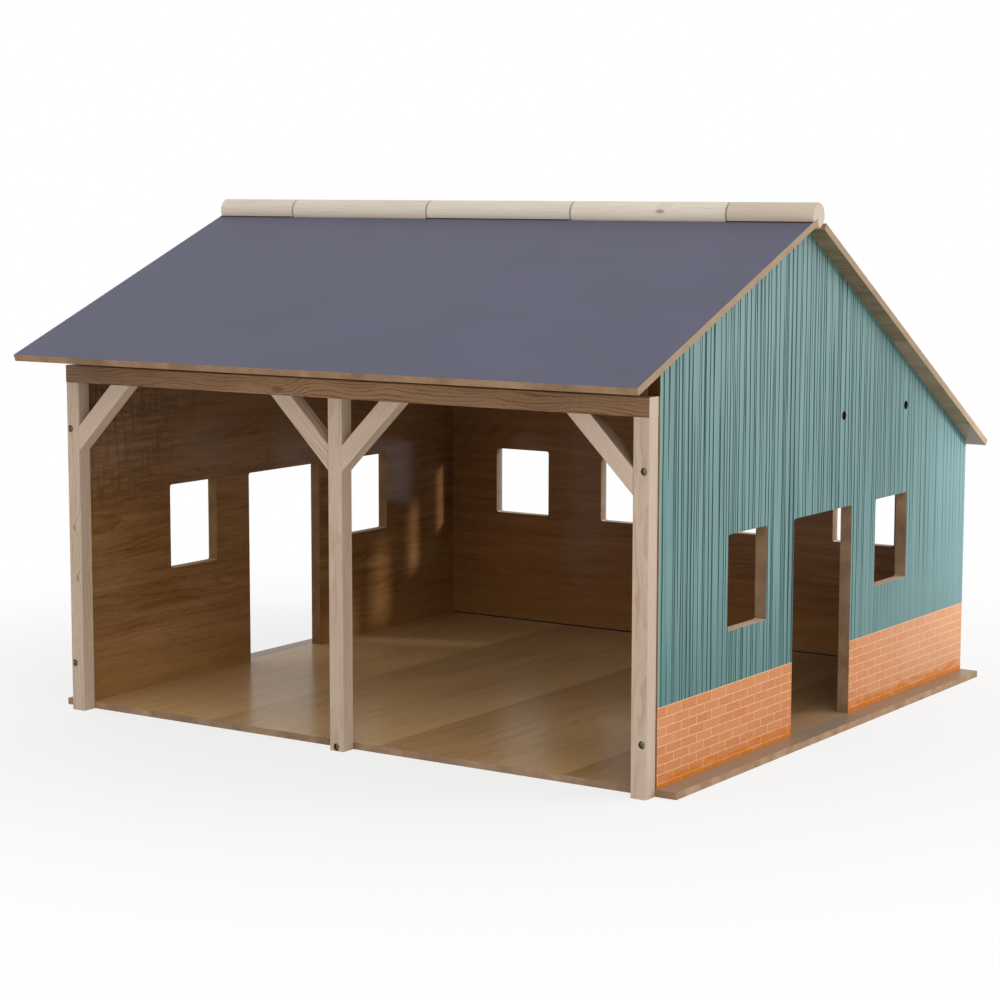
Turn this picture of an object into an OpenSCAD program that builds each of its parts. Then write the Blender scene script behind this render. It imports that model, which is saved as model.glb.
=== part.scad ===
// Open-fronted toy shed with two vehicle bays and a roof that folds back along a wooden ridge hinge.
// Millimetres, +Z up, front towards -Y. The origin is on the ground, in the middle of the plan outline.

/* [Footprint] */
// Width over the outer faces of the two side walls
shed_w = 510; // [445:1:640]
// Depth from the front of the posts to the rear edge of the side walls
shed_d = 508; // [470:1:545]
// Thickness of the floor board
floor_t = 5; // [4:0.5:10]
// How far the floor board stands out past each side wall
floor_lip = 15; // [0:0.5:40]

/* [Walls] */
// Thickness of the wall boards
wall_t = 9; // [8:0.5:14]
// Gap left under the back wall
back_wall_gap = 1; // [0.5:0.25:3]
// Radius that the router leaves in the corners of the openings
corner_r = 2; // [0.5:0.25:6]
// Gap between the side walls and the front roof panel when it is shut
roof_seat_gap = 0.3; // [0.2:0.1:1.5]

/* [Side doorways and windows] */
// Distance from the front of the posts to the first window
first_window_y = 106.5; // [50:0.5:130]
// Width of each side window
side_window_w = 56.5; // [30:0.5:70]
// Height of the side window sills above the ground
side_sill_h = 96; // [70:0.5:130]
// Height above the ground of the top edge of side windows and doorways
side_head_h = 163; // [145:0.5:185]
// Width of the wall between a window and the doorway
door_pier_w = 41; // [20:0.5:50]
// Width of each side doorway
door_w = 94; // [60:0.5:105]

/* [Back windows] */
// Width of each back window
back_window_w = 56; // [30:0.5:62]
// Height of the back window sills above the ground
back_sill_h = 102.5; // [70:0.5:130]
// Height above the ground of the top edge of the back windows
back_head_h = 161; // [140:0.5:168]
// Width of the wall between the two windows of a bay
back_pier_w = 55.5; // [30:0.5:65]
// Width of the wall between the two middle windows
middle_pier_w = 60; // [30:0.5:75]

/* [Peg holes] */
// Diameter of the holes through the side walls
peg_hole_d = 7; // [4:0.5:12]
// Distance of the holes below the underside of the beam
peg_hole_drop = 20; // [10:0.5:50]
// Distance from the front of the posts to the first hole
peg_hole_y = 282; // [150:0.5:290]
// Distance from the first hole to the second
peg_hole_pitch = 108; // [40:0.5:112]

/* [Posts, beam and braces] */
// Width and depth of the square posts
post_w = 12; // [10:0.5:18]
// How far a side post stands in from the outer face of its wall
post_inset = 1; // [0:0.25:3]
// Height of the underside of the beam above the ground
beam_under_h = 251; // [225:0.5:290]
// Height of the beam's own section
beam_h = 13; // [10:0.5:15]
// Width of a brace across its length
brace_w = 13; // [8:0.5:18]
// How far a brace reaches along the post and along the beam
brace_reach = 51; // [35:0.5:80]
// Width of the small chamfer along the solid wood edges
arris = 0.5; // [0.2:0.1:1.5]

/* [Roof] */
// Thickness of the roof panels
roof_t = 5; // [4:0.5:6]
// How far the roof stands out past each side wall
roof_verge = 13.5; // [2:0.5:40]
// How far the front eave stands out in front of the posts
front_eave = 40; // [10:0.5:70]
// How far the rear eave stands out behind the walls
rear_eave = 12; // [3:0.5:40]
// Slope of the front panel in degrees
front_pitch = 22.7; // [18:0.1:24]
// Slope of the rear panel in degrees
rear_pitch = 30.7; // [24:0.1:33]
// Distance from the front of the posts to the hinge axis
ridge_y = 208; // [190:0.5:230]
// Gap between the beam and the front panel, above the front of the posts
roof_over_beam = 20.5; // [8:0.5:60]

/* [Ridge hinge] */
// Diameter of the round ridge knuckles
knuckle_d = 18; // [15:0.5:26]
// Length of the knuckle at the left end of the ridge
left_end_knuckle_l = 74.5; // [50:0.5:110]
// Length of the knuckle at the right end of the ridge
right_end_knuckle_l = 69.5; // [50:0.5:110]
// Gap between neighbouring knuckles
knuckle_gap = 0.6; // [0.3:0.1:2]
// Height of the hinge axis above the top face of the front panel
axis_over_front = 1; // [0.5:0.1:2.5]
// Depth of the hinge axis below the top face of the rear panel
axis_under_rear = 1; // [0:0.1:1]
// Distance from the hinge axis to the seat that a panel's end stands against
notch_back = 3; // [2.5:0.1:4]
// Gap between the front panel and the rear knuckles that turn in its cut-outs
front_relief = 2; // [1:0.1:6]
// Gap between the rear panel and the front knuckles that turn in its cut-outs
rear_relief = 4; // [1:0.1:6]
// Diameter of the hinge pin
pin_d = 3; // [2:0.1:3.5]
// Clearance all round the hinge pin
pin_fit = 0.05; // [0.02:0.01:0.1]
// Length of solid wood that hides each end of the pin
pin_cover = 12; // [5:0.5:25]
// Gap between the ridge knuckles and the flat tops of the side walls
apex_gap = 1; // [0.3:0.1:4]

/* [Screws and dowels] */
// Shank diameter of the frame screws
screw_d = 3; // [2.5:0.1:3.4]
// Head diameter of the frame screws
screw_head_d = 4.6; // [4:0.1:5]
// Height of the frame screw heads
screw_head_h = 1.6; // [1:0.1:2]
// Length of the frame screws
screw_l = 30; // [22:0.5:34]
// Shank diameter of the small screws
small_screw_d = 2.4; // [2:0.1:2.5]
// Head diameter of the small screws
small_head_d = 4.8; // [4:0.1:5]
// Height of the small screw heads
small_head_h = 1.2; // [0.8:0.1:1.6]
// Length of the small screws
small_screw_l = 9; // [8:0.25:10]
// Shank diameter of the long screw in the foot of the middle post
foot_screw_d = 2.4; // [2:0.1:2.6]
// Clearance round every screw and dowel
fastener_fit = 0.05; // [0.02:0.01:0.2]
// Depth of the post screw heads below the face of the post
head_sink = 2; // [0.5:0.1:3]
// Clearance round a sunk screw head
head_room = 0.3; // [0.1:0.05:0.6]
// Width of one bar of the cross in a screw head
cross_w = 0.7; // [0.4:0.1:1]
// Distance of the upper post screws below the underside of the beam
upper_screw_drop = 35; // [6:0.5:60]
// Height of the lower post screws above the ground
lower_screw_h = 36.5; // [32:0.5:80]
// Height of the middle post screw above the ground
foot_screw_h = 3; // [2.8:0.1:3.2]
// Distance of a screw from the end of the board that it goes into
screw_inset = 30; // [20:0.5:45]
// Diameter of the dowels between the back wall and the side walls
dowel_d = 5; // [3:0.5:6]
// Depth of a dowel in the side wall
dowel_in_side = 6; // [3:0.5:6.5]
// Depth of a dowel in the back wall
dowel_in_back = 20; // [10:0.5:21]
// Gap left beyond each end of a dowel
dowel_end_gap = 0.5; // [0.2:0.1:1]
// Height of the lower dowels above the ground
lower_dowel_h = 45; // [40:0.5:80]
// Height of the upper dowels above the ground
upper_dowel_h = 150; // [110:0.5:155]

/* [Hidden] */
$fn = 48;

// Cutters run past the faces that they cut by this much
over = 1;
// Braces meet the posts and the beam at this angle in degrees
brace_angle = 45;
// Colours of the boards, the solid wood and the steel
board_brown = "#a98762";
oak_print = "#7d6248";
cladding = "#7fa5a1";
slate = "#686878";
pale_wood = "#cdb79c";
steel = "silver";

// Plan, with the outline's middle at zero
total_d = front_eave + shed_d + rear_eave;
front_y = front_eave - total_d / 2;
rear_y = front_y + shed_d;
wall_front_y = front_y + post_w;
outer_x = shed_w / 2;
inner_x = outer_x - wall_t;
wall_mid_x = outer_x - wall_t / 2;
post_outer_x = outer_x - post_inset;
post_mid_x = post_outer_x - post_w / 2;
back_inner_y = rear_y - wall_t;
back_mid_y = rear_y - wall_t / 2;

// Roof planes, measured at the hinge axis
axis_y = front_y + ridge_y;
beam_top_h = beam_under_h + beam_h;
ridge_h = beam_top_h + roof_over_beam + ridge_y * tan(front_pitch)
    + (axis_over_front + roof_t) / cos(front_pitch);
roof_x = outer_x + roof_verge;
knuckle_r = knuckle_d / 2;
front_top_z = ridge_h - axis_over_front / cos(front_pitch);
rear_top_z = ridge_h + axis_under_rear / cos(rear_pitch);
front_under_z = front_top_z - roof_t / cos(front_pitch);
rear_under_z = rear_top_z - roof_t / cos(rear_pitch);
front_seat_z = front_under_z - roof_seat_gap / cos(front_pitch);
apex_z = ridge_h - knuckle_r - apex_gap;
front_length = (ridge_y + front_eave + axis_over_front * sin(front_pitch)) / cos(front_pitch);
rear_length = (shed_d + rear_eave - ridge_y - axis_under_rear * sin(rear_pitch)) / cos(rear_pitch);
front_cut = knuckle_r + front_relief;
rear_cut = knuckle_r + rear_relief;

// Heights of the wall tops and of the seats on them at a given place along the depth
function front_seat(y) = front_seat_z - (axis_y - y) * tan(front_pitch);
function rear_seat(y) = rear_under_z - (y - axis_y) * tan(rear_pitch);

// Openings of a side wall, from front to back
window_a_y = front_y + first_window_y;
door_y = window_a_y + side_window_w + door_pier_w;
window_b_y = door_y + door_w + door_pier_w;
door_end_y = door_y + door_w;

// Left edges of the back windows
back_lefts = [
    -middle_pier_w / 2 - 2 * back_window_w - back_pier_w,
    -middle_pier_w / 2 - back_window_w,
    middle_pier_w / 2,
    middle_pier_w / 2 + back_window_w + back_pier_w
];

// Knuckles along the ridge: one at each end and between them some of one length
knuckle_count = 5;
inner_knuckle_l = (2 * roof_x - left_end_knuckle_l - right_end_knuckle_l) / (knuckle_count - 2);
first_inner_x = -roof_x + left_end_knuckle_l;
function is_last(i) = i == knuckle_count - 1;
function knuckle_start(i) = i == 0 ? -roof_x : first_inner_x + (i - 1) * inner_knuckle_l + knuckle_gap / 2;
function knuckle_end(i) = is_last(i) ? roof_x : first_inner_x + i * inner_knuckle_l - knuckle_gap / 2;
function knuckle_screw_xs(i) = [
    knuckle_start(i) + (knuckle_end(i) - knuckle_start(i)) / 4,
    knuckle_end(i) - (knuckle_end(i) - knuckle_start(i)) / 4
];
knuckle_screw_y = (notch_back + knuckle_r) / 2;
front_knuckles = [for (i = [0 : 2 : knuckle_count - 1]) i];
rear_knuckles = [for (i = [1 : 2 : knuckle_count - 1]) i];

// Places of the screws that hold the frame
wall_screw_ys = [
    wall_front_y + screw_inset,
    door_y - screw_inset,
    door_end_y + screw_inset,
    rear_y - screw_inset
];
roof_screw_us = [
    rear_cut + screw_inset,
    (rear_cut + rear_length) / 2,
    (rear_y - screw_inset - axis_y) / cos(rear_pitch)
];
back_screw_xs = [-inner_x + 2 * screw_inset, 0, inner_x - 2 * screw_inset];
post_mids = [-post_mid_x, 0, post_mid_x];

// Frame of a roof panel: the hinge axis is the local X axis and the panel's top face is parallel to XY
module at_ridge(slope) {
    translate([0, axis_y, ridge_h])
        rotate([slope, 0, 0])
            children();
}

// Bar along X with a chamfered section from [y0, z0] with size [dy, dz]
module bar_x(x0, x1, y0, z0, dy, dz) {
    translate([x0, y0, z0])
        rotate([90, 0, 90])
            linear_extrude(x1 - x0)
                chamfered(dy, dz);
}

module chamfered(w, h) {
    polygon([[arris, 0], [w - arris, 0], [w, arris], [w, h - arris],
        [w - arris, h], [arris, h], [0, h - arris], [0, arris]]);
}

// Screw along +Z with the top of its head at zero and its shank below
module screw(d, head_d, head_h, l) {
    difference() {
        union() {
            translate([0, 0, -l])
                cylinder(d = d, h = l);
            translate([0, 0, -head_h])
                cylinder(d1 = d, d2 = head_d, h = head_h);
        }
        for (turn = [0, 90])
            rotate([0, 0, turn])
                translate([-d / 2, -cross_w / 2, -head_h / 2])
                    cube([d, cross_w, head_h]);
    }
}

// Hole for such a screw, with the head sunk below the face by sink
module screw_hole(d, head_d, head_h, l, sink = 0) {
    grow = 2 * fastener_fit;
    translate([0, 0, -l - fastener_fit])
        cylinder(d = d + grow, h = l + over);
    translate([0, 0, -head_h])
        cylinder(d1 = d + grow, d2 = head_d + grow, h = head_h);
    cylinder(d = head_d + grow + (sink > 0 ? 2 * head_room : 0), h = over + sink);
}

module frame_screw() {
    screw(screw_d, screw_head_d, screw_head_h, screw_l);
}

module frame_hole(sink = 0) {
    screw_hole(screw_d, screw_head_d, screw_head_h, screw_l, sink);
}

module foot_screw() {
    screw(foot_screw_d, screw_head_d, screw_head_h, screw_l);
}

module foot_hole(sink = 0) {
    screw_hole(foot_screw_d, screw_head_d, screw_head_h, screw_l, sink);
}

module small_screw() {
    screw(small_screw_d, small_head_d, small_head_h, small_screw_l);
}

module small_hole() {
    screw_hole(small_screw_d, small_head_d, small_head_h, small_screw_l);
}

// Places where the screws stand, each with its head's top at zero and its shank along -Z
module at_post_screws() {
    for (side = [-1, 1], z = [lower_screw_h, beam_under_h - upper_screw_drop])
        translate([side * wall_mid_x, front_y + head_sink, z])
            rotate([90, 0, 0])
                children();
}

module at_foot_screw() {
    translate([0, front_y + head_sink, foot_screw_h])
        rotate([90, 0, 0])
            children();
}

module at_beam_screws() {
    for (x = post_mids)
        translate([x, front_y + post_w / 2, beam_top_h])
            children();
}

module at_wall_screws() {
    for (side = [-1, 1], y = wall_screw_ys)
        translate([side * wall_mid_x, y, 0])
            rotate([180, 0, 0])
                children();
}

module at_back_screws() {
    for (x = back_screw_xs)
        translate([x, back_mid_y, 0])
            rotate([180, 0, 0])
                children();
}

module at_roof_screws() {
    at_ridge(-rear_pitch)
        for (side = [-1, 1], u = roof_screw_us)
            translate([side * wall_mid_x, u, axis_under_rear])
                children();
}

module at_front_knuckle_screws() {
    at_ridge(front_pitch)
        for (i = front_knuckles, x = knuckle_screw_xs(i))
            translate([x, -knuckle_screw_y, -axis_over_front - roof_t])
                rotate([180, 0, 0])
                    children();
}

module at_rear_knuckle_screws() {
    at_ridge(-rear_pitch)
        for (i = rear_knuckles, x = knuckle_screw_xs(i))
            translate([x, knuckle_screw_y, axis_under_rear - roof_t])
                rotate([180, 0, 0])
                    children();
}

// Dowel across the joint between a side wall and the back wall, grown by grow and lengthened by more
module dowels(grow, more) {
    for (side = [0, 1], z = [lower_dowel_h, upper_dowel_h])
        mirror([side, 0, 0])
            translate([inner_x - dowel_in_back - more, back_mid_y, z])
                rotate([0, 90, 0])
                    cylinder(d = dowel_d + 2 * grow, h = dowel_in_back + dowel_in_side + 2 * more);
}

// Opening cut along X through a side wall, from y0 for w and from z0 up to z1, with round corners
module side_cut(y0, w, z0, z1) {
    run = wall_t + 2 * over;
    translate([inner_x - over, y0 + corner_r, z0])
        cube([run, w - 2 * corner_r, z1 - z0]);
    translate([inner_x - over, y0, z0 + corner_r])
        cube([run, w, z1 - z0 - 2 * corner_r]);
    for (y = [y0 + corner_r, y0 + w - corner_r], z = [z0 + corner_r, z1 - corner_r])
        translate([inner_x - over, y, z])
            rotate([0, 90, 0])
                cylinder(r = corner_r, h = run);
}

// Opening cut along Y through the back wall
module back_cut(x0) {
    run = wall_t + 2 * over;
    rise = back_head_h - back_sill_h;
    translate([x0 + corner_r, back_inner_y - over, back_sill_h])
        cube([back_window_w - 2 * corner_r, run, rise]);
    translate([x0, back_inner_y - over, back_sill_h + corner_r])
        cube([back_window_w, run, rise - 2 * corner_r]);
    for (x = [x0 + corner_r, x0 + back_window_w - corner_r],
            z = [back_sill_h + corner_r, back_head_h - corner_r])
        translate([x, back_inner_y - over, z])
            rotate([-90, 0, 0])
                cylinder(r = corner_r, h = run);
}

// Outline of a side wall in depth and height, cut flat under the ridge
module side_outline() {
    front_apex_y = axis_y - (front_seat_z - apex_z) / tan(front_pitch);
    rear_apex_y = axis_y + (rear_under_z - apex_z) / tan(rear_pitch);
    polygon([[wall_front_y, floor_t], [rear_y, floor_t], [rear_y, rear_seat(rear_y)],
        [rear_apex_y, apex_z], [front_apex_y, apex_z], [wall_front_y, front_seat(wall_front_y)]]);
}

// Side wall at +X, with its doorway, windows, peg holes and fastener holes
module side_wall() {
    difference() {
        translate([inner_x, 0, 0])
            rotate([90, 0, 90])
                linear_extrude(wall_t)
                    side_outline();
        side_cut(window_a_y, side_window_w, side_sill_h, side_head_h);
        side_cut(window_b_y, side_window_w, side_sill_h, side_head_h);
        side_cut(door_y, door_w, floor_t - 2 * corner_r - over, side_head_h);
        for (y = [peg_hole_y, peg_hole_y + peg_hole_pitch])
            translate([inner_x - over, front_y + y, beam_under_h - peg_hole_drop])
                rotate([0, 90, 0])
                    cylinder(d = peg_hole_d, h = wall_t + 2 * over);
        at_post_screws()
            frame_hole();
        at_wall_screws()
            frame_hole();
        at_roof_screws()
            frame_hole();
        dowels(fastener_fit, dowel_end_gap);
    }
}

// Square post that stands from the ground to the beam
module post(mid_x) {
    translate([mid_x - post_w / 2, front_y, 0])
        linear_extrude(beam_under_h)
            chamfered(post_w, post_w);
}

// Sloping brace between the face of a post at face_x and the beam, towards side
module brace(face_x, side) {
    corner = 2 * brace_reach;
    translate([face_x, front_y, beam_under_h])
        intersection() {
            translate([side > 0 ? 0 : -corner, 0, -corner])
                cube([corner, post_w, corner]);
            translate([side * brace_reach, 0, 0])
                rotate([0, side * brace_angle, 0])
                    translate([side > 0 ? -brace_w : 0, 0, -corner])
                        linear_extrude(2 * corner)
                            chamfered(brace_w, post_w);
        }
}

// Round knuckle number i, with the seat for its panel cut out on the panel's side
module knuckle(i, slope, seat_z) {
    x0 = knuckle_start(i);
    length = knuckle_end(i) - x0;
    bore_x0 = i == 0 ? x0 + pin_cover - over : x0 - over;
    bore_x1 = is_last(i) ? x0 + length - pin_cover + over : x0 + length + over;
    seat_y = slope > 0 ? -notch_back - knuckle_d : notch_back;
    at_ridge(slope)
        difference() {
            translate([x0, 0, 0])
                rotate([0, 90, 0])
                    union() {
                        translate([0, 0, arris])
                            cylinder(r = knuckle_r, h = length - 2 * arris);
                        cylinder(r1 = knuckle_r - arris, r2 = knuckle_r, h = arris);
                        translate([0, 0, length - arris])
                            cylinder(r1 = knuckle_r, r2 = knuckle_r - arris, h = arris);
                    }
            translate([x0 - over, seat_y, seat_z - knuckle_d])
                cube([length + 2 * over, knuckle_d, knuckle_d]);
            translate([bore_x0, 0, 0])
                rotate([0, 90, 0])
                    cylinder(d = pin_d + 2 * pin_fit, h = bore_x1 - bore_x0);
        }
}

module floor_board() {
    color(oak_print)
        difference() {
            translate([-outer_x - floor_lip, wall_front_y, 0])
                cube([shed_w + 2 * floor_lip, rear_y - wall_front_y, floor_t]);
            at_foot_screw()
                foot_hole();
            at_wall_screws()
                frame_hole();
            at_back_screws()
                frame_hole();
        }
}

module left_wall() {
    color(cladding)
        mirror([1, 0, 0])
            side_wall();
}

module right_wall() {
    color(cladding)
        side_wall();
}

module back_wall() {
    color(cladding)
        difference() {
            translate([-inner_x, 0, 0])
                rotate([90, 0, 90])
                    linear_extrude(2 * inner_x)
                        polygon([[back_inner_y, floor_t + back_wall_gap], [rear_y, floor_t + back_wall_gap],
                            [rear_y, rear_seat(rear_y)], [back_inner_y, rear_seat(back_inner_y)]]);
            for (x = back_lefts)
                back_cut(x);
            at_back_screws()
                frame_hole();
            dowels(fastener_fit, dowel_end_gap);
        }
}

module side_post(side) {
    color(pale_wood)
        difference() {
            post(side * post_mid_x);
            at_post_screws()
                frame_hole(head_sink);
            at_beam_screws()
                frame_hole();
        }
}

module left_post() {
    side_post(-1);
}

module right_post() {
    side_post(1);
}

module middle_post() {
    color(pale_wood)
        difference() {
            post(0);
            at_foot_screw()
                foot_hole(head_sink);
            at_beam_screws()
                frame_hole();
        }
}

module front_beam() {
    color(pale_wood)
        difference() {
            bar_x(-post_outer_x, post_outer_x, front_y, beam_under_h, post_w, beam_h);
            at_beam_screws()
                frame_hole();
        }
}

module left_post_brace() {
    color(pale_wood)
        brace(-post_mid_x + post_w / 2, 1);
}

module middle_left_brace() {
    color(pale_wood)
        brace(-post_w / 2, -1);
}

module middle_right_brace() {
    color(pale_wood)
        brace(post_w / 2, 1);
}

module right_post_brace() {
    color(pale_wood)
        brace(post_mid_x - post_w / 2, -1);
}

module rear_roof_panel() {
    color(slate)
        difference() {
            at_ridge(-rear_pitch)
                translate([0, 0, axis_under_rear - roof_t])
                    union() {
                        translate([-roof_x, rear_cut, 0])
                            cube([2 * roof_x, rear_length - rear_cut, roof_t]);
                        for (i = rear_knuckles)
                            translate([knuckle_start(i), notch_back, 0])
                                cube([knuckle_end(i) - knuckle_start(i), rear_cut, roof_t]);
                    }
            at_roof_screws()
                frame_hole();
            at_rear_knuckle_screws()
                small_hole();
        }
}

module front_roof_panel() {
    color(slate)
        difference() {
            at_ridge(front_pitch)
                translate([0, 0, -axis_over_front - roof_t])
                    union() {
                        translate([-roof_x, -front_length, 0])
                            cube([2 * roof_x, front_length - front_cut, roof_t]);
                        for (i = front_knuckles)
                            translate([knuckle_start(i), -notch_back - front_cut, 0])
                                cube([knuckle_end(i) - knuckle_start(i), front_cut, roof_t]);
                    }
            at_front_knuckle_screws()
                small_hole();
        }
}

module rear_knuckle(i) {
    color(pale_wood)
        difference() {
            knuckle(i, -rear_pitch, axis_under_rear);
            at_rear_knuckle_screws()
                small_hole();
        }
}

module front_knuckle(i) {
    color(pale_wood)
        difference() {
            knuckle(i, front_pitch, -axis_over_front);
            at_front_knuckle_screws()
                small_hole();
        }
}

module left_rear_knuckle() {
    rear_knuckle(rear_knuckles[0]);
}

module right_rear_knuckle() {
    rear_knuckle(rear_knuckles[1]);
}

module left_end_knuckle() {
    front_knuckle(front_knuckles[0]);
}

module centre_knuckle() {
    front_knuckle(front_knuckles[1]);
}

module right_end_knuckle() {
    front_knuckle(front_knuckles[2]);
}

module hinge_pin() {
    color(steel)
        translate([-roof_x + pin_cover, axis_y, ridge_h])
            rotate([0, 90, 0])
                cylinder(d = pin_d, h = 2 * (roof_x - pin_cover));
}

module post_screws() {
    color(steel)
        at_post_screws()
            frame_screw();
}

module middle_post_screw() {
    color(steel)
        at_foot_screw()
            foot_screw();
}

module beam_screws() {
    color(steel)
        at_beam_screws()
            frame_screw();
}

module wall_screws() {
    color(steel)
        at_wall_screws()
            frame_screw();
}

module back_wall_screws() {
    color(steel)
        at_back_screws()
            frame_screw();
}

module back_wall_dowels() {
    color(pale_wood)
        dowels(0, 0);
}

module rear_roof_screws() {
    color(steel)
        at_roof_screws()
            frame_screw();
}

module rear_knuckle_screws() {
    color(steel)
        at_rear_knuckle_screws()
            small_screw();
}

module front_knuckle_screws() {
    color(steel)
        at_front_knuckle_screws()
            small_screw();
}

floor_board();
left_wall();
right_wall();
back_wall();
left_post();
middle_post();
right_post();
front_beam();
left_post_brace();
middle_left_brace();
middle_right_brace();
right_post_brace();
rear_roof_panel();
left_rear_knuckle();
right_rear_knuckle();
hinge_pin();
post_screws();
middle_post_screw();
beam_screws();
wall_screws();
back_wall_screws();
back_wall_dowels();
rear_roof_screws();
rear_knuckle_screws();
front_roof_panel();
left_end_knuckle();
centre_knuckle();
right_end_knuckle();
front_knuckle_screws();
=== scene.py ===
import math

import bpy
from mathutils import Matrix, Vector


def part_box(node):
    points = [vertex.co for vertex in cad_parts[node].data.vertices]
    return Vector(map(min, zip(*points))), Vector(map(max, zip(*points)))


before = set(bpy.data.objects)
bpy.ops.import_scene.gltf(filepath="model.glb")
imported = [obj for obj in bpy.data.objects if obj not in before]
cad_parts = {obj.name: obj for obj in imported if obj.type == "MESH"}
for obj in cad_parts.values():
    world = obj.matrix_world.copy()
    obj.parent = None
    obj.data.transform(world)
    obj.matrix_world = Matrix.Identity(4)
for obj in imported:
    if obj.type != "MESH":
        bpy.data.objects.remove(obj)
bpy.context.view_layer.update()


# ----------------------------------------------------------------------------------------------------
# Floor board. A thin fibreboard with a printed oak foil on its top face and raw sawn edges. The side
# walls and the back wall stand on it, held by screws that come up through it from below.

MM = 0.001
FACING = 0.7


class Socket:
    """A shader output that reckons like a number: each operator adds one Math node and gives its result."""

    def __init__(self, finish, output):
        self.finish = finish
        self.output = output

    def math(self, operation, *values):
        return self.finish.add("ShaderNodeMath", {"operation": operation}, dict(enumerate(values)))

    def __add__(self, other):
        return self.math("ADD", self, other)

    def __radd__(self, other):
        return self.math("ADD", other, self)

    def __sub__(self, other):
        return self.math("SUBTRACT", self, other)

    def __rsub__(self, other):
        return self.math("SUBTRACT", other, self)

    def __mul__(self, other):
        return self.math("MULTIPLY", self, other)

    def __rmul__(self, other):
        return self.math("MULTIPLY", other, self)

    def __truediv__(self, other):
        return self.math("DIVIDE", self, other)

    def __pow__(self, other):
        return self.math("POWER", self, other)

    def __gt__(self, other):
        return self.math("GREATER_THAN", self, other)

    def __lt__(self, other):
        return self.math("LESS_THAN", self, other)

    def __abs__(self):
        return self.math("ABSOLUTE", self)

    def floor(self):
        return self.math("FLOOR", self)

    def fraction(self):
        return self.math("FRACT", self)

    def smaller(self, other):
        return self.math("MINIMUM", self, other)

    def larger(self, other):
        return self.math("MAXIMUM", self, other)

    def clip(self):
        return self.smaller(1.0).larger(0.0)

    def fade(self, low, high):
        """A smooth step from 0 at low to 1 at high."""
        sockets = {"Value": self, "From Min": low, "From Max": high}
        return self.finish.add("ShaderNodeMapRange", {"interpolation_type": "SMOOTHSTEP"}, sockets)


class Finish:
    """One procedural material, grown node by node. Places on the piece are in millimetres."""

    def __init__(self, name, store=bpy.data.materials):
        self.owner = store.new(name)
        self.owner.use_nodes = True
        self.tree = self.owner.node_tree
        self.tree.nodes.clear()
        here = self.tree.nodes.new("ShaderNodeTexCoord")
        self.x, self.y, self.z = [part / MM for part in self.parts(here.outputs["Object"])]
        self.face_x, self.face_y, self.face_z = self.parts(here.outputs["Normal"])

    def add(self, kind, settings, sockets, output=0):
        """Adds a node: first its settings, then each socket's value or link. Gives the numbered output."""
        node = self.tree.nodes.new(kind)
        for name, value in settings.items():
            setattr(node, name, value)
        for key, value in sockets.items():
            if isinstance(value, Socket):
                self.tree.links.new(value.output, node.inputs[key])
            else:
                node.inputs[key].default_value = value
        return Socket(self, node.outputs[output])

    def parts(self, vector):
        """The three parts of a vector output."""
        split = self.add("ShaderNodeSeparateXYZ", {}, {"Vector": Socket(self, vector)})
        return [Socket(self, part) for part in split.output.node.outputs]

    def noise(self, place, detail=2.0, roughness=0.5):
        """Soft noise from 0 to 1 about a mean of one half, where one unit of place is about one lump."""
        at = self.add("ShaderNodeCombineXYZ", {}, dict(enumerate(place)))
        sockets = {"Vector": at, "Scale": 1.0, "Detail": detail, "Roughness": roughness}
        return self.add("ShaderNodeTexNoise", {}, sockets)

    def lumps(self, along, across, size, seed, detail=2.0, roughness=0.5):
        """Soft noise on a face, whose lumps have the given length and width."""
        length, width = size
        return self.noise((along / length, across / width, seed), detail, roughness)

    def random(self, number):
        """One even random value from 0 to 1 for each whole number."""
        return self.add("ShaderNodeTexWhiteNoise", {"noise_dimensions": "1D"}, {"W": number})

    def cracks(self, place):
        """Distance to the nearest of a row of uneven lines, where one unit of place is the mean spacing."""
        settings = {"voronoi_dimensions": "1D", "feature": "DISTANCE_TO_EDGE"}
        return self.add("ShaderNodeTexVoronoi", settings, {"W": place, "Scale": 1.0})

    def mix(self, share, first, second):
        """The first colour turning into the second as share goes from 0 to 1."""
        return self.add("ShaderNodeMix", {"data_type": "RGBA"}, {0: share, 6: first, 7: second}, 2)

    def close(self, shader, kind="ShaderNodeOutputMaterial"):
        """Joins the shader to the output."""
        end = self.tree.nodes.new(kind)
        self.tree.links.new(shader.output, end.inputs["Surface"])
        return self.owner

    def surface(self, colour, roughness, height, depth, **constants):
        """Ends the material: a Principled shader, its normal bent by a height map of that depth."""
        bump = self.add("ShaderNodeBump", {}, {"Strength": 1.0, "Distance": depth * MM, "Height": height})
        named = {name.replace("_", " "): value for name, value in constants.items()}
        sockets = {"Base Color": colour, "Roughness": roughness, "Normal": bump, **named}
        return self.close(self.add("ShaderNodeBsdfPrincipled", {}, sockets))


def paint(code):
    """Linear colour of a six-figure code: pairs of figures are shares of 255 on the screen's curve."""
    shares = [int(code[i:i + 2], 16) / 255 for i in (0, 2, 4)]
    return (*[s / 12.92 if s <= 0.04045 else ((s + 0.055) / 1.055) ** 2.4 for s in shares], 1.0)


BEND = (190.0, 45.0)
STREAK = (75.0, 1.9)
FIBRE = (11.0, 0.9)
GROWTH_PITCH = 7.0
GROWTH_WANDER = (45.0, 6.0)
ARCH = (80.0, 30.0)
PORE = (5.0, 0.5)
CLOUD = (160.0, 60.0)
BAND = (110.0, 8.0)


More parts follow.
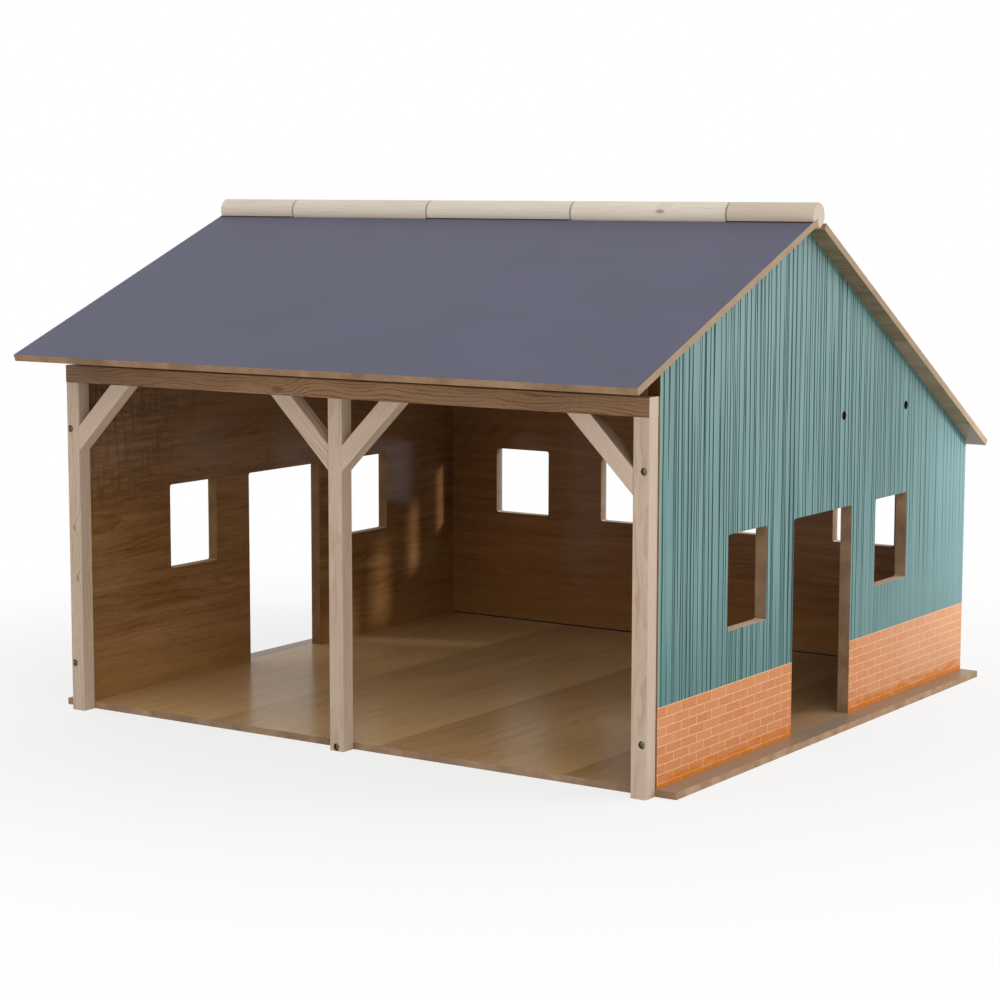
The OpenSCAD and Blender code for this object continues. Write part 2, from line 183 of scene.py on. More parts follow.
def oak_print(finish, along, across, dark, pale, seed, plank, first_seam, vivid=1.0):
    """Oak foil: fine fibres and short pores drawn out along the grain, broader streaks, and arched
    growth lines where slow noise bends them. Each plank starts elsewhere in the figure, and a fine line
    parts it from the next. Sizes above are lengths along the grain and widths across it."""
    number = ((across - first_seam) / plank).floor()
    start = finish.random(number + seed)
    a = along + start * 900.0
    c = across + start * 370.0
    bend = finish.lumps(a, c, BEND, seed, 1.0) * 30.0
    streaks = finish.lumps(a, c + bend * 0.3, STREAK, seed, 3.0, 0.65)
    fibres = finish.lumps(a, c, FIBRE, seed, 2.0, 0.6)
    growth = ((c + bend * 3.0) / GROWTH_PITCH + finish.lumps(a, c, GROWTH_WANDER, seed) * 0.8).fraction()
    arches = finish.lumps(a, c, ARCH, seed + 4.0, 1.0).fade(0.42, 0.62)
    growth = growth.fade(0.5, 0.93) * (1 - growth.fade(0.93, 1.0)) * arches
    pores = finish.lumps(a, c, PORE, seed + 9.0, 1.0).fade(0.58, 0.70)
    clouds = finish.lumps(a, c, CLOUD, seed + 3.0)
    bands = finish.lumps(a, c + bend * 0.5, BAND, seed + 6.0)
    figure = (streaks - 0.5) * 0.7 + (fibres - 0.5) * 0.7 + (clouds - 0.5) * 0.8 + (bands - 0.5) * 0.9
    tone = 0.55 + figure * vivid
    oak = finish.mix((tone + (start - 0.5) * 0.5 - growth * 0.2 - pores * 0.2).clip(), dark, pale)
    from_seam = (0.5 - abs(((across - first_seam) / plank).fraction() - 0.5)) * plank
    return finish.mix((1 - from_seam.fade(0.15, 0.8)) * 0.2, oak, dark), streaks


BOARD_DARK = paint("7e624a")
BOARD_PALE = paint("c4a689")
SPECK = 0.55
STAIN = 18.0


def raw_board(finish, dark=BOARD_DARK, pale=BOARD_PALE):
    """Sawn fibreboard: fine felted specks over slow stains, with no grain direction."""
    specks = finish.noise((finish.x / SPECK, finish.y / SPECK, finish.z / SPECK), 3.0, 0.7)
    stains = finish.noise((finish.x / STAIN, finish.y / STAIN, finish.z / STAIN), 2.0)
    return finish.mix((0.5 + (specks - 0.5) * 1.6 + (stains - 0.5) * 1.2).clip(), dark, pale), specks


def wear(node, material):
    """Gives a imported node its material."""
    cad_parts[node].material_slots[0].material = material


WALL_INNER = 246.0
WALL_OUTER = 255.0
BACK_FOOT = 258.6
BACK_FOOT_DEPTH = 9.0
PLANK = 153.5
PLANK_SEAM = 28.0
FLOOR_OAK_DARK = paint("c19564")
FLOOR_OAK_PALE = paint("eac38f")
PLANK_START = paint("94703f")
PLANK_END = paint("f6cf92")
DOORWAY_PAINTED_SHADE = paint("72523c")
THRESHOLD = paint("947e6a")
OUTER_LIP = paint("a28e7a")
GAP_PAINTED_SHADE = paint("3a2412")


def floor_finish():
    """Oak planks on top, each a little darker at its left edge and paler at its right one, with painted
    shade on the floor inside the right doorway, and duller by the right wall and outside the walls. Raw
    board on the sawn edges and underneath, and a strip of bare matt board, painted dark as shade, where
    the back wall stands over the floor with a narrow gap."""
    finish = Finish("oak_plank_floor")
    oak, grain = oak_print(finish, finish.y, finish.x, FLOOR_OAK_DARK, FLOOR_OAK_PALE, 11.0,
                           PLANK, PLANK_SEAM, 0.65)
    side = ((finish.x - PLANK_SEAM) / PLANK).fraction()
    oak = finish.mix((1 - side.fade(0.0, 0.5)) * 0.2, oak, PLANK_START)
    oak = finish.mix(side.fade(0.5, 1.0) * 0.3, oak, PLANK_END)
    # Painted shade on the floor inside the right doorway.
    doorway = finish.x.fade(90.0, 150.0) * finish.y.fade(-90.0, 20.0) * (1 - finish.x.fade(215.0, 250.0))
    oak = finish.mix(doorway * 0.58, oak, DOORWAY_PAINTED_SHADE)
    oak = finish.mix(finish.x.fade(215.0, 250.0) * 0.5, oak, THRESHOLD)
    oak = finish.mix((abs(finish.x) > WALL_OUTER) * 0.92, oak, OUTER_LIP)
    board, specks = raw_board(finish)
    top = finish.face_z > FACING
    # Where the back wall stands over the floor, the board is bare and matt, and painted dark as shade in
    # the gap.
    hidden = top * (finish.y > BACK_FOOT) * (finish.y < BACK_FOOT + BACK_FOOT_DEPTH)
    hidden = hidden * (abs(finish.x) < WALL_INNER)
    colour = finish.mix(hidden, finish.mix(top, board, oak), GAP_PAINTED_SHADE)
    foil = top * (1 - hidden)
    rough = foil * (0.21 + grain * 0.05) + (1 - foil) * 0.85
    height = top * grain * 0.2 + (1 - top) * specks
    return finish.surface(colour, rough, height, 0.04, Specular_IOR_Level=0.028)


wear("floor_board", floor_finish())


# ----------------------------------------------------------------------------------------------------
# Side walls and back wall. Thicker fibreboard with a printed foil on each face: ribbed turquoise
# cladding over a brick base outside, dark oak inside. The doorways and windows are routed, so their
# reveals show the raw board.

COURSE = 6.26
FIRST_BED = 9.4
BRICK_TOP = 60.4
BRICK = 20.6
BED = 0.44
CLAY_DARK = paint("c5794b")
CLAY_PALE = paint("cc8a5e")
CLAY_ROSE = paint("d17f5e")
CLAY_OCHRE = paint("c88c4a")
CLAY_FADED = paint("d0a284")
CLAY_DAMP = paint("cc700f")
MORTAR = paint("e6bf8c")
MORTAR_DAMP = paint("e3a94e")


def brick_base(finish, along, height):
    """Running bond: level beds a course apart, and upright joints that shift by half a brick from course
    to course. The top course is a little taller, because the foil is cut there. The clay is faded at the
    rear and turns a deeper orange near the floor."""
    last = math.floor((BRICK_TOP - FIRST_BED) / COURSE) - 1
    course = ((height - FIRST_BED) / COURSE).floor().smaller(last)
    under = height - FIRST_BED - course * COURSE
    rise = (course > last - 0.5) * (BRICK_TOP - FIRST_BED - (last + 1) * COURSE) + COURSE
    to_bed = under.smaller(rise - under)
    place = along / BRICK + (course / 2).fraction()
    to_joint = (0.5 - abs(place.fraction() - 0.5)) * BRICK
    wobble = (finish.lumps(along, height, (3.0, 3.0), 2.0) - 0.5) * 0.35
    mortar = 1 - (to_bed.smaller(to_joint) + wobble).fade(BED * 0.35, BED * 0.9)
    clay = finish.mix(finish.random(place.floor() + course * 57.0), CLAY_DARK, CLAY_PALE)
    mottle = finish.lumps(along, height, (2.4, 1.6), 7.0, 3.0, 0.7)
    clay = finish.mix(mottle.fade(0.42, 0.7) * 0.8, clay, CLAY_ROSE)
    stain = finish.lumps(along, height, (7.0, 3.0), 19.0)
    clay = finish.mix(stain.fade(0.46, 0.66) * 0.65, clay, CLAY_OCHRE)
    clay = finish.mix(along.fade(0.0, 220.0) * 0.5, clay, CLAY_FADED)
    damp_edge = height + (finish.lumps(along, height, (16.0, 4.0), 5.0) - 0.5) * 26.0
    damp = 1 - damp_edge.fade(7.0, 17.0)
    clay = finish.mix(damp * 0.85, clay, CLAY_DAMP)
    return finish.mix(mortar * 0.8, clay, finish.mix(damp, MORTAR, MORTAR_DAMP))


RIBS = ((7.0, 0.8, 1.0, 3.0), (8.7, 0.7, 0.95, 31.0), (11.0, 0.65, 0.9, 67.0))
GROUND_DARK = paint("5d807e")
GROUND_PALE = paint("729492")
GROUND_GABLE = paint("869f9f")
GROUND_REAR = paint("6c8b8d")
GROUND_LOW = paint("47716f")
RIB_LIGHT = paint("8cacaa")
RIB_SHADE = paint("103133")


def ribbed_cladding(finish, along, height):
    """Upright ribs of uneven width: rows of cracks, each row with its own mean spacing, line width,
    strength and seed. Each crack is dark with a pale line beside it, and noise makes it stronger or
    weaker on its way up. The lines are weaker at the rear, in the gable and just above the bricks."""
    bands = finish.lumps(along, height, (6.5, 400.0), 13.0, 1.0)
    colour = finish.mix(bands.fade(0.3, 0.7), GROUND_DARK, GROUND_PALE)
    colour = finish.mix(height.fade(160.0, 340.0) * 0.6, colour, GROUND_GABLE)
    colour = finish.mix(along.fade(-60.0, 200.0) * 0.6, colour, GROUND_REAR)
    low_front = (1 - height.fade(60.0, 150.0)) * (1 - along.fade(-60.0, 120.0))
    colour = finish.mix(low_front * 0.5, colour, GROUND_LOW)
    region = finish.lumps(along, height, (55.0, 110.0), 71.0, 1.0)
    region = 1.42 + (region - 0.5) * 0.9 - along.fade(-60.0, 240.0) * 0.85
    region = region - height.fade(200.0, 340.0) * 0.35
    region = region - (1 - height.fade(70.0, 150.0)) * 0.6
    for spacing, width, strength, seed in RIBS:
        power = finish.lumps(along, height, (8.0, 260.0), seed, 1.0).fade(0.36, 0.5)
        power = (power * region).clip() * strength
        sway = along + (finish.lumps(along, height, (30.0, 90.0), seed) - 0.5) * 2.4
        pale = finish.cracks((sway - 1.9 * width) / spacing + seed) * spacing
        pale = 1 - pale.fade(width * 0.3, width)
        dark = 1 - (finish.cracks(sway / spacing + seed) * spacing).fade(width * 0.5, width * 1.1)
        colour = finish.mix(pale * power * 0.25, colour, RIB_LIGHT)
        colour = finish.mix(dark * power, colour, RIB_SHADE)
    return colour


ONE_PLANK = 1200.0
ONE_PLANK_SEAM = -400.0
FOIL_DROP = 0.5
FRONT_FOIL_DROP = 0.9
FOIL_JOIN = 10.0
FRONT_STRIP = -225.6
FRONT_EDGE = -220.0
BEAM_TOP = 264.0
REAR_FACE = 268.0
REAR_TOP = 195.2
REAR_FALL = 0.5938
PEG_MIDDLE = 96.0
PEG_SPREAD = 54.0
PEG_HEIGHT = 231.0
PEG_BORE = 3.6
PEG_RIM = 3.95
STRIP_GREEN = paint("84a492")
VERGE_PAINTED_SHADOW = paint("12594a")
RIM_GREY = paint("a8a890")
BORE_BROWN = paint("3c2818")
CORNER_PAINTED_SHADE = paint("5a3a1c")
DUSK_PAINTED_SHADE = paint("3a2412")
FOOT_PAINTED_LIGHT = paint("ab8049")
UPPER_PAINTED_SHEEN = paint("7e6c60")
SAW_MARK = paint("452a14")
SILL_PAINTED_LIGHT = paint("dcc2a6")
OVER_BEAM_PAINTED_SHADE = paint("52300f")
BACK_WALL_TOP = paint("b08a5c")
REVEAL_PAINTED_LIGHT = paint("988c84")


def wall_finish(name, outward, face, along, seed, sawn, sill_light, oak_tones, cut_tones):
    """Outer foil where the face looks outward, inner foil where it looks inward, raw board on the sawn
    edges. The inner foil shows cross-cut saw marks by the share given in sawn, and edges that look up
    get painted light, paler by the share given in sill."""
    finish = Finish(name)
    facing = getattr(finish, face) * outward
    run = getattr(finish, along)
    side_wall = face == "face_x"
    level = finish.z + FOIL_DROP + ((run < FOIL_JOIN) * FRONT_FOIL_DROP if side_wall else 0.0)
    bricks = brick_base(finish, run, level)
    ribs = ribbed_cladding(finish, run, finish.z)
    if side_wall:
        ribs = finish.mix((run < FRONT_STRIP) * 0.7, ribs, STRIP_GREEN)
    shell = finish.mix(level > BRICK_TOP + 0.3, bricks, ribs)

    oak, grain = oak_print(finish, run, finish.z, *oak_tones, seed, ONE_PLANK, ONE_PLANK_SEAM)
    # Painted shade on the inner foil towards the rear corners, deepest at mid height.
    corner = run.fade(60.0, 255.0) if side_wall else abs(run).fade(150.0, 255.0)
    oak = finish.mix(corner * 0.15, oak, CORNER_PAINTED_SHADE)
    dusk = corner * finish.z.fade(60.0, 110.0) * (1 - finish.z.fade(150.0, 200.0))
    oak = finish.mix(dusk * 0.25, oak, DUSK_PAINTED_SHADE)
    # Painted light bounced from the floor: the inner foil is paler near its foot.
    oak = finish.mix((1 - finish.z.fade(0.0, 60.0)) * 0.55, oak, FOOT_PAINTED_LIGHT)
    # Painted sheen: the inner foil is greyer higher up.
    oak = finish.mix(finish.z.fade(130.0, 260.0) * 0.36, oak, UPPER_PAINTED_SHEEN)
    reach = run + (200.0 - finish.z.smaller(200.0))
    ragged = (finish.lumps(run, finish.z, (22.0, 22.0), 8.0) - 0.5) * 70.0
    patch = (1 - (reach + ragged).fade(-150.0, -85.0)) * sawn
    bars = finish.lumps(run, finish.z, (3.4, 30.0), seed, 1.0).fade(0.45, 0.65)
    cuts = finish.lumps(run, finish.z, (30.0, 2.6), seed, 1.0).fade(0.45, 0.65)
    marks = (bars * 0.38).larger(cuts * 0.32) * patch * finish.z.fade(125.0, 170.0)
    oak = finish.mix(marks, oak, SAW_MARK)

    board, specks = raw_board(finish, *cut_tones)
    # Painted light on edges that look up.
    board = finish.mix((finish.face_z > FACING) * sill_light, board, SILL_PAINTED_LIGHT)
    # Painted shade: the wall's front edge above the beam is painted dark.
    over_beam = (finish.face_y < -FACING) * (finish.y < FRONT_EDGE) * (finish.z > BEAM_TOP)
    board = finish.mix(over_beam, board, OVER_BEAM_PAINTED_SHADE)
    if side_wall:
        from_peg = (abs(run - PEG_MIDDLE) - PEG_SPREAD) ** 2.0 + (finish.z - PEG_HEIGHT) ** 2.0
        board = finish.mix(from_peg < PEG_BORE ** 2, board, BORE_BROWN)
        shell = finish.mix((from_peg < PEG_RIM ** 2) * 0.5, shell, RIM_GREY)
        # Painted shadow of the rear verge: a dark green band on the outer foil just under the roof line.
        under_verge = REAR_TOP + (REAR_FACE - run) * REAR_FALL - finish.z
        shell = finish.mix((1 - under_verge.fade(3.0, 5.0)) * 0.45, shell, VERGE_PAINTED_SHADOW)
    else:
        left_top = finish.z.fade(190.0, 235.0) * (1 - run.fade(-120.0, -20.0))
        oak = finish.mix(left_top * 0.6, oak, BACK_WALL_TOP)
        # Painted light: the back wall's sawn edges are paler and greyer towards the outer face.
        board = finish.mix(finish.y.fade(262.0, 267.0) * 0.4, board, REVEAL_PAINTED_LIGHT)

    outside = facing > FACING
    inside = facing < -FACING
    colour = finish.mix(inside, finish.mix(outside, board, shell), oak)
    rough = 0.75 - inside * (0.61 - grain * 0.08) - outside * 0.25
    height = inside * grain * 0.2 + outside * 0.3 + (1 - inside - outside) * specks
    return finish.surface(colour, rough, height, 0.05, Specular_IOR_Level=0.15)


# One oak foil and one board on all walls, in lit and shaded copies per wall as painted light and shade.
LEFT_OAK = (paint("774f26"), paint("b48a5e"))
LEFT_CUT = (paint("5e4427"), paint("906c48"))
RIGHT_OAK = (paint("714820"), paint("ac7f53"))
RIGHT_CUT = (paint("6e543c"), paint("a88a6c"))
BACK_OAK = (paint("6b421b"), paint("a47549"))
BACK_CUT = (paint("5a4634"), paint("8b735e"))
wear("left_wall", wall_finish("left_wall_foils", -1.0, "face_x", "y", 23.0, 1.0, 0.35,
                              LEFT_OAK, LEFT_CUT))
wear("right_wall", wall_finish("right_wall_foils", 1.0, "face_x", "y", 29.0, 1.0, 0.95,
                               RIGHT_OAK, RIGHT_CUT))
wear("back_wall", wall_finish("back_wall_foils", 1.0, "face_y", "x", 37.0, 0.0, 0.85,
                              BACK_OAK, BACK_CUT))


# ----------------------------------------------------------------------------------------------------
# Posts, beam and braces. Planed pale softwood bars with a small chamfer on their long edges. The side
# posts are screwed to the walls' front edges, the beam lies on the posts, and the braces are glued into
# the corners.

KNOT_HEART = paint("6b4326")
KNOT_LENGTH = 2.4


def timber(finish, along, across, up, dark, pale, seed, wave=7.0, ring=2.1, bold=0.4, knots=()):
    """Sawn softwood: growth rings are the distance from a pith line beside the bar, bent by slow noise
    along the grain, and each ring ends in a narrow darker band. Round knots push the rings aside and
    darken at their heart."""
    drift = finish.noise((along / 60.0, across / 14.0, up / 14.0 + seed), 2.0)
    radius = (across ** 2.0 + up ** 2.0) ** 0.5 + drift * wave
    heart = 0.0
    for place, level, size in knots:
        near = (((along - place) / KNOT_LENGTH) ** 2.0 + (up - level) ** 2.0) ** 0.5
        radius = radius + (1 - near.fade(0.0, size * 3.2)) * size * 1.6
        heart = heart + (1 - near.fade(size * 0.25, size * 0.8))
    late = (radius / ring).fraction()
    strength = finish.lumps(along, radius, (50.0, 3.0), seed).fade(0.3, 0.6)
    late = late.fade(0.35, 0.9) * (1 - late.fade(0.9, 1.0)) * strength
    fibres = finish.noise((along / 18.0, across / 0.6, up / 0.6 + seed), 3.0, 0.65)
    pores = finish.noise((along / 4.0, across / 0.5, up / 0.5 + seed), 1.0).fade(0.58, 0.68)
    tone = (0.25 + late * bold + (fibres - 0.5) * 0.6 + (drift - 0.5) * 0.4 + pores * 0.25).clip()
    wood = finish.mix(tone, pale, dark)
    if knots:
        wood = finish.mix(heart.clip() * 0.55, wood, KNOT_HEART)
    return wood, fibres


def planed(finish, wood, fibres):
    """Planed bare wood: dull, with the fibres just standing up."""
    return finish.surface(wood, 0.52 + fibres * 0.2, fibres, 0.06, Specular_IOR_Level=0.35)


PINE_DARK = paint("b4967c")
PINE_PALE = paint("dbc4af")
PINE_SIDE_PAINTED_SHADE = paint("a3968a")
DRILLED_AND_SHADED = paint("4a2f1a")
BORED_AND_SHADED = paint("8a6340")
LEFT_POST_KNOTS = ((141.0, 13.7, 1.9), (102.5, 16.0, 2.2))
POSTS = (("left_post", LEFT_POST_KNOTS, BORED_AND_SHADED, 0.0), ("middle_post", (), DRILLED_AND_SHADED, 0.0),
         ("right_post", (), DRILLED_AND_SHADED, 0.35))
POST_PITH_FRONT = 262.0
POST_PITH_SIDE = 8.0
POST_PITH_STEP = 11.0
for number, (name, knots, bore, side_shade) in enumerate(POSTS):
    finish = Finish(name + "_pine")
    low, high = [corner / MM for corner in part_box(name)]
    pith = low.x - POST_PITH_SIDE + POST_PITH_STEP * number
    wood, fibres = timber(finish, finish.z, finish.y + POST_PITH_FRONT, finish.x - pith,
                          PINE_DARK, PINE_PALE, 5.0 + number, knots=knots)
    # The walls of the screw holes are darker: partly the drilled wood's own tone, partly painted shade.
    inside = (finish.y > low.y + 0.3) * (finish.y < high.y - 0.3)
    inside = inside * (finish.x > low.x + 1.0) * (finish.x < high.x - 1.0)
    # Painted shade: on the right post only, the face that looks towards +X is greyer and darker by the
    # given share.
    wood = finish.mix((finish.face_x > FACING) * side_shade, wood, PINE_SIDE_PAINTED_SHADE)
    wear(name, planed(finish, finish.mix(inside, wood, bore), fibres))

# The beam is pale pine: its long faces carry painted shade of the eave in darker, browner colours, and its
# end faces show the unshaded pine.
BEAM_SHADED_DARK = paint("634126")
BEAM_SHADED_PALE = paint("bd926a")
BEAM_ENDS = paint("3a2414")
BEAM_UNSHADED_END = paint("bfaf9f")
BEAM_KNOTS = ((-50.0, 15.0, 4.2),)
BAR_PITH_FRONT = 252.0
BEAM_PITH_HEIGHT = 240.0
finish = Finish("front_beam_pine")
wood, fibres = timber(finish, finish.x, finish.y + BAR_PITH_FRONT, finish.z - BEAM_PITH_HEIGHT,
                      BEAM_SHADED_DARK, BEAM_SHADED_PALE, 17.0, 10.0, 1.9, 0.5, BEAM_KNOTS)
ends = (0 - finish.x).fade(40.0, 220.0) * 0.36 + finish.x.fade(40.0, 220.0) * 0.2
wood = finish.mix(ends, wood, BEAM_ENDS)
wear("front_beam", planed(finish, finish.mix(finish.face_x > FACING, wood, BEAM_UNSHADED_END), fibres))

DIAGONAL = math.sqrt(0.5)
BRACE_DARK = paint("b7997f")
BRACE_PALE = paint("dfc8b2")
BRACE_PAINTED_SHADOW = paint("6b4a30")
BRACE_PITH = 190.0
BRACES = (("left_post_brace", 1, 0.1, 0.0), ("middle_left_brace", -1, 0.8, 0.0),
          ("middle_right_brace", 1, 0.25, 0.0), ("right_post_brace", -1, 0.15, 0.7))
for name, lean, bold, top_shadow in BRACES:
    finish = Finish(name + "_pine")
    grain = (finish.x * lean + finish.z) * DIAGONAL
    side = (finish.x * lean - finish.z) * DIAGONAL
    wood, fibres = timber(finish, grain, finish.y + BAR_PITH_FRONT, side + BRACE_PITH,
                          BRACE_DARK, BRACE_PALE, 41.0 + lean, bold=bold)
    # Painted shadow of the beam on the upper face of the right post's brace.
    wood = finish.mix((finish.face_z > 0.5) * top_shadow, wood, BRACE_PAINTED_SHADOW)
    wear(name, planed(finish, wood, fibres))


# ----------------------------------------------------------------------------------------------------
# Screws, hinge pin and dowels. Zinc-plated countersunk screws with a cross slot, a plain steel rod
# through the ridge, and beech dowels between the back wall and the side walls.

ZINC_DULL = paint("544c44")
ZINC_BRIGHT = paint("cec6bc")
RUB = 1.2


def zinc():
    """Zinc plating: bright metal, dulled in uneven patches."""
    finish = Finish("zinc_plating")
    dull = finish.noise((finish.x / RUB, finish.y / RUB, finish.z / RUB), 3.0, 0.65)
    colour = finish.mix(dull, ZINC_DULL, ZINC_BRIGHT)
    return finish.surface(colour, 0.3 + dull * 0.25, dull, 0.01, Metallic=1.0)


plating = zinc()
for name in ("post_screws", "middle_post_screw", "beam_screws", "wall_screws", "back_wall_screws",
             "rear_roof_screws", "rear_knuckle_screws", "front_knuckle_screws", "hinge_pin"):
    wear(name, plating)

BEECH_DARK = paint("dfd0bf")
BEECH_PALE = paint("fdf0df")
DOWEL_PITH_BACK = 240.0
DOWEL_PITH_HEIGHT = 30.0
finish = Finish("dowel_beech")
wood, fibres = timber(finish, finish.x, finish.y - DOWEL_PITH_BACK, finish.z - DOWEL_PITH_HEIGHT,
                      BEECH_DARK, BEECH_PALE, 71.0)
wear("back_wall_dowels", planed(finish, wood, fibres))


# ----------------------------------------------------------------------------------------------------
# Roof panels. Thin fibreboard, slate-grey foil on top and oak foil below, with raw edges. The rear
# panel is screwed down on the side walls, and the front panel is free to swing up on the ridge.

SEAMS = (-194.0, -62.9, 68.1, 199.0)
RIDGE = -32.0
SLATE_DARK = paint("58596b")
SLATE_PALE = paint("66667d")
SEAT_PAINTED_SHADOW = paint("2c1a16")
ROOF_OAK_DARK = paint("6d5a42")
ROOF_OAK_PALE = paint("aa967a")
ROOF_EAVE_GREY = paint("a3938a")
ROOF_CUT_DARK = paint("7a5a42")
ROOF_CUT_PALE = paint("bf9a7a")
VERGE_CUT = paint("9c8c72")
ROOF_PLANK = 150.0
ROOF_PLANK_SEAM = 121.4
SEAT_START = 10.6
SEAT_FULL = 9.8


def roof_finish(name, seed):
    """Slate foil on the upper face, with a painted contact shadow where the front panel's knuckles sit, oak
    foil on the lower face and raw board on the edges."""
    finish = Finish(name)
    specks = finish.lumps(finish.x, finish.y, (0.7, 0.7), seed, 2.0, 0.7)
    clouds = finish.lumps(finish.x, finish.y, (90.0, 60.0), seed)
    tone = (0.5 + (specks - 0.5) * 0.8 + (clouds - 0.5) * 0.7).clip()
    slate = finish.mix(tone, SLATE_DARK, SLATE_PALE)
    oak, grain = oak_print(finish, finish.x, finish.y, ROOF_OAK_DARK, ROOF_OAK_PALE, seed,
                           ROOF_PLANK, ROOF_PLANK_SEAM)
    oak = finish.mix(finish.y.fade(244.0, 254.0) * 0.6, oak, ROOF_EAVE_GREY)
    board, fluff = raw_board(finish, ROOF_CUT_DARK, ROOF_CUT_PALE)
    board = finish.mix((abs(finish.face_x) > FACING) * 0.6, board, VERGE_CUT)
    top = finish.face_z > FACING
    under = finish.face_z < -FACING
    colour = finish.mix(under, finish.mix(top, board, slate), oak)
    seats = (finish.x < SEAMS[0]) + (finish.x > SEAMS[1]) * (finish.x < SEAMS[2]) + (finish.x > SEAMS[3])
    # Painted contact shadow on the slate just under the front panel's knuckles.
    line = top * seats * finish.y.fade(RIDGE - SEAT_START, RIDGE - SEAT_FULL) * (finish.y < RIDGE)
    colour = finish.mix(line, colour, SEAT_PAINTED_SHADOW)
    height = top * specks * 0.3 + under * grain * 0.3 + (1 - top - under) * fluff
    return finish.surface(colour, 0.75 - top * 0.2 - under * 0.3, height, 0.05, Specular_IOR_Level=0.25)


wear("rear_roof_panel", roof_finish("rear_roof_foils", 5.0))
wear("front_roof_panel", roof_finish("front_roof_foils", 9.0))


# ----------------------------------------------------------------------------------------------------
# Ridge knuckles. Five lengths of turned beech dowel in line on a steel pin, their ends cut square and
# rubbed round. Each is seated on the edge of its panel and screwed to it: three carry the front panel
# and two the rear one.

KNUCKLE_KNOTS = ((145.0, 37.0, 2.8),)
KNUCKLES = (("left_end_knuckle", 0.15, ()), ("left_rear_knuckle", 0.1, ()),
            ("centre_knuckle", 0.05, ()), ("right_rear_knuckle", 0.0, KNUCKLE_KNOTS),
            ("right_end_knuckle", 0.45, ()))
KNUCKLE_WARM = paint("c4ad8e")
KNUCKLE_END_GRAIN = paint("b5a697")
KNUCKLE_PITH_BEHIND = 14.0
KNUCKLE_PITH_HEIGHT = 352.0
for number, (name, warmth, knots) in enumerate(KNUCKLES):
    finish = Finish(name + "_beech")
    across = finish.y - RIDGE - KNUCKLE_PITH_BEHIND + 5.0 * number
    up = finish.z - KNUCKLE_PITH_HEIGHT + 3.0 * number
    wood, fibres = timber(finish, finish.x, across, up, BEECH_DARK, BEECH_PALE, 83.0 + number,
                          bold=0.35, knots=knots)
    wood = finish.mix(warmth, wood, KNUCKLE_WARM)
    wood = finish.mix((abs(finish.face_x) > FACING) * 0.7, wood, KNUCKLE_END_GRAIN)
    wear(name, planed(finish, wood, fibres))


# ----------------------------------------------------------------------------------------------------
# Studio. A seamless pale floor that keeps the shadow and turns into the white background with distance.
# Softboxes stand high, at the front and at the right, a narrow lamp shines in through the back windows,
# and the surround is an even white.

FLOOR_HALF = 12.0
FLOOR_NEAR = 300.0
FLOOR_FAR = 800.0
FLOOR_WHITE = 0.75
PAPER_DARK = paint("f4f3f1")
PAPER_PALE = paint("f8f8f7")
WHITE = (1.0, 1.0, 1.0, 1.0)


def studio_floor():
    """Pale diffuse paper that gives way to the plain white of the background, by a fixed share near the
    toy and wholly further out, but only for what is seen directly or in a reflection, so that the white
    doesn't light the toy."""
    finish = Finish("studio_floor")
    shade = finish.lumps(finish.x, finish.y, (300.0, 300.0), 0.0)
    paper = finish.mix(shade, PAPER_DARK, PAPER_PALE)
    matt = finish.add("ShaderNodeBsdfDiffuse", {}, {"Color": paper})
    white = finish.add("ShaderNodeEmission", {}, {"Color": WHITE, "Strength": 1.0})
    rays = finish.tree.nodes.new("ShaderNodeLightPath")
    seen = Socket(finish, rays.outputs["Is Camera Ray"])
    seen = seen.larger(Socket(finish, rays.outputs["Is Glossy Ray"]))
    distance = (finish.x ** 2.0 + finish.y ** 2.0) ** 0.5
    far = (distance.fade(FLOOR_NEAR, FLOOR_FAR) * (1.0 - FLOOR_WHITE) + FLOOR_WHITE) * seen
    return finish.close(finish.add("ShaderNodeMixShader", {}, {0: far, 1: matt, 2: white}))


floor_mesh = bpy.data.meshes.new("studio_floor")
corners = [(-FLOOR_HALF, -FLOOR_HALF, 0), (FLOOR_HALF, -FLOOR_HALF, 0), (FLOOR_HALF, FLOOR_HALF, 0),
           (-FLOOR_HALF, FLOOR_HALF, 0)]
floor_mesh.from_pydata(corners, [], [(0, 1, 2, 3)])
floor_mesh.materials.append(studio_floor())
studio = bpy.data.objects.new("studio_floor", floor_mesh)
bpy.context.collection.objects.link(studio)

SURROUND = 0.66


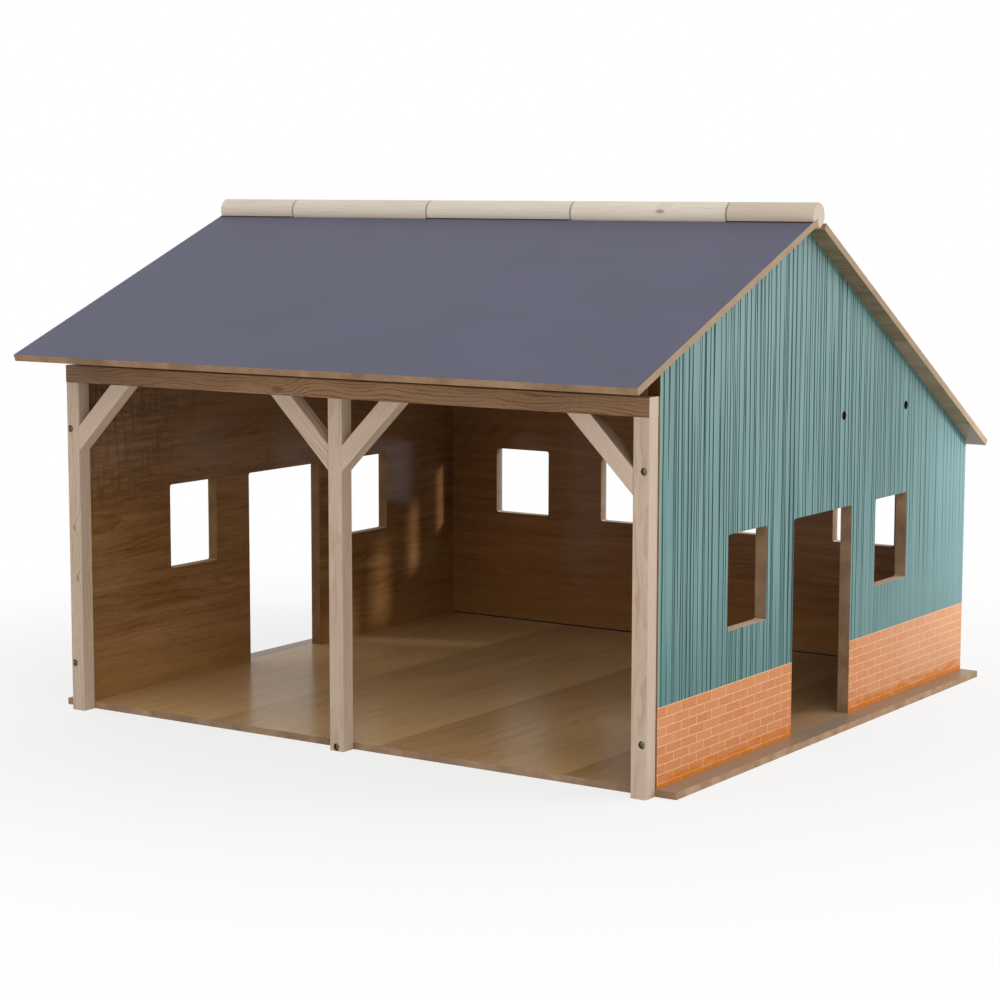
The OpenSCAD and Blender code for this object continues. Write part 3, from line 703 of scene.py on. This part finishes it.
def surround():
    """White at full strength where it is seen directly or reflected, and weaker as a light."""
    finish = Finish("studio_surround", bpy.data.worlds)
    rays = finish.tree.nodes.new("ShaderNodeLightPath")
    seen = Socket(finish, rays.outputs["Is Camera Ray"])
    seen = seen.larger(Socket(finish, rays.outputs["Is Glossy Ray"]))
    seen = seen.larger(Socket(finish, rays.outputs["Is Transmission Ray"]))
    strength = SURROUND + seen * (1.0 - SURROUND)
    sky = finish.add("ShaderNodeBackground", {}, {"Color": WHITE, "Strength": strength})
    return finish.close(sky, "ShaderNodeOutputWorld")


bpy.context.scene.world = surround()


def stand(lamp, place, aim):
    """Puts a lamp at place, in metres, turned to face aim."""
    light = bpy.data.objects.new(lamp.name, lamp)
    bpy.context.collection.objects.link(light)
    place = Vector(place)
    turn = (Vector(aim) - place).to_track_quat("-Z", "Y")
    light.matrix_world = Matrix.LocRotScale(place, turn, None)


SOFTBOXES = (("high_softbox", (2.2, -1.5, 1.9), (0.0, 0.0, 0.15), 1.6, 7.3),
             ("front_softbox", (2.6, -2.2, 0.9), (0.0, 0.0, 0.15), 2.0, 14.8),
             ("right_softbox", (1.6, 0.82, 0.6), (0.0, 0.1, 0.12), 1.0, 10.3))
for name, place, aim, size, power in SOFTBOXES:
    lamp = bpy.data.lights.new(name, "AREA")
    lamp.size = size
    lamp.energy = power
    stand(lamp, place, aim)

SNOOT_PLACE = (1.5, 0.82, 0.54)
SNOOT_AIM = (0.02, 0.268, 0.125)
snooted = bpy.data.lights.new("snooted_lamp", "SPOT")
snooted.energy = 85.0
snooted.spot_size = math.radians(14.4)
snooted.spot_blend = 1.0
snooted.shadow_soft_size = 0.07
stand(snooted, SNOOT_PLACE, SNOOT_AIM)

LENS = 89.118
SENSOR = 36.0
EYE = (1.0511, -1.6065, 0.3982)
YAW = 33.719
PITCH = 7.234
ROLL = 0.091

camera = bpy.data.objects.new("camera", bpy.data.cameras.new("camera"))
camera.data.lens = LENS
camera.data.sensor_width = SENSOR
tilt = Matrix.Rotation(math.radians(90.0 - PITCH), 4, "X") @ Matrix.Rotation(math.radians(ROLL), 4, "Z")
camera.matrix_world = Matrix.Translation(EYE) @ Matrix.Rotation(math.radians(YAW), 4, "Z") @ tilt
bpy.context.collection.objects.link(camera)
bpy.context.scene.camera = camera
bpy.context.scene.view_settings.view_transform = "Standard"
